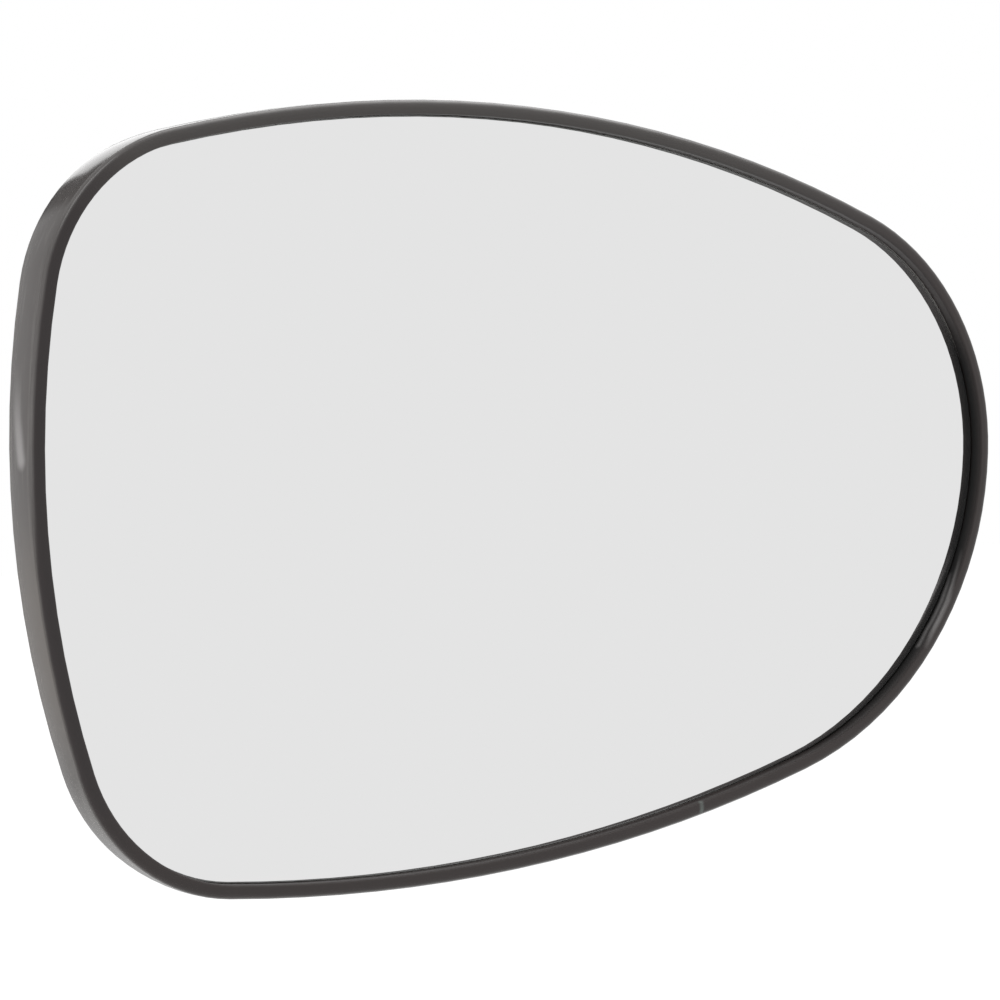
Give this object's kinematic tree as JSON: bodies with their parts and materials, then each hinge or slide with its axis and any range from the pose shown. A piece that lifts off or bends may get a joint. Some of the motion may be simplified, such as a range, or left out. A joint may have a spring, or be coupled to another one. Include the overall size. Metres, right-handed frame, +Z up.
{
  "type": "car door mirror glass",
  "caption": "Convex mirror glass for a car's door mirror, bonded into a dark plastic carrier with a lip in front and a round snap ring behind.",
  "frame": {"origin": "middle of the gripping band of the actuator clip's snap fingers, on their axis", "axes": "+Y along the clip's axis, out of its mouth to the rear; the glass faces -Y, +X to the nose at the right seen from the front, +Z up"},
  "size_m": [0.166, 0.0158, 0.1128],
  "materials": {
    "carrier_plastic": "fine-grained dark warm-grey moulding, a little glossier on the outer wall",
    "adhesive_sheet": "matt double-sided adhesive sheet",
    "mirror": "silvered convex glass with a ground seam"
  },
  "bodies": {
    "root": {"backing_plate": "carrier_plastic", "adhesive_pad": "adhesive_sheet", "mirror_glass": "mirror"}
  },
  "joints": []
}
